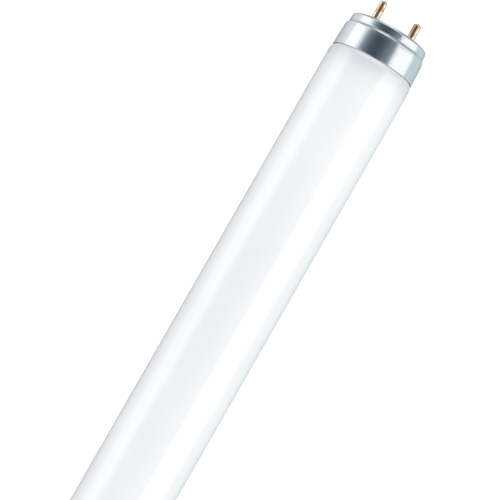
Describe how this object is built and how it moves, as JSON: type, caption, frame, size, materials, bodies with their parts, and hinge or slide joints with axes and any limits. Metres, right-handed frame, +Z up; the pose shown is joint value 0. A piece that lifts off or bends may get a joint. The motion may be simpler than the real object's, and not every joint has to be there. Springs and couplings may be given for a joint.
{
  "type": "fluorescent tube",
  "caption": "Straight white-coated glass lamp tube with an aluminium two-pin cap cemented on each end.",
  "frame": {"origin": "on the tube's axis, midway between the two cap faces", "axes": "+X along the tube, out through the right cap's pins, +Y from each cap's front pin to its rear pin, and +Z up, with the tube lying on its side"},
  "size_m": [0.6034, 0.026, 0.026],
  "materials": {
    "coated_glass": "clear gloss glass, white powder coating on the inside",
    "cap_aluminium": "drawn, semi-bright",
    "phenolic": "moulded, satin",
    "cement": "set cement, matt",
    "pin_brass": "drawn, bright",
    "lead_wire": "drawn wire"
  },
  "bodies": {
    "root": {"glass_tube": "coated_glass", "right_cap_shell": "cap_aluminium", "right_insulator": "phenolic", "right_cement": "cement", "right_front_pin": "pin_brass", "right_rear_pin": "pin_brass", "right_front_lead": "lead_wire", "right_rear_lead": "lead_wire", "left_cap_shell": "cap_aluminium", "left_insulator": "phenolic", "left_cement": "cement", "left_front_pin": "pin_brass", "left_rear_pin": "pin_brass", "left_front_lead": "lead_wire", "left_rear_lead": "lead_wire"}
  },
  "joints": []
}
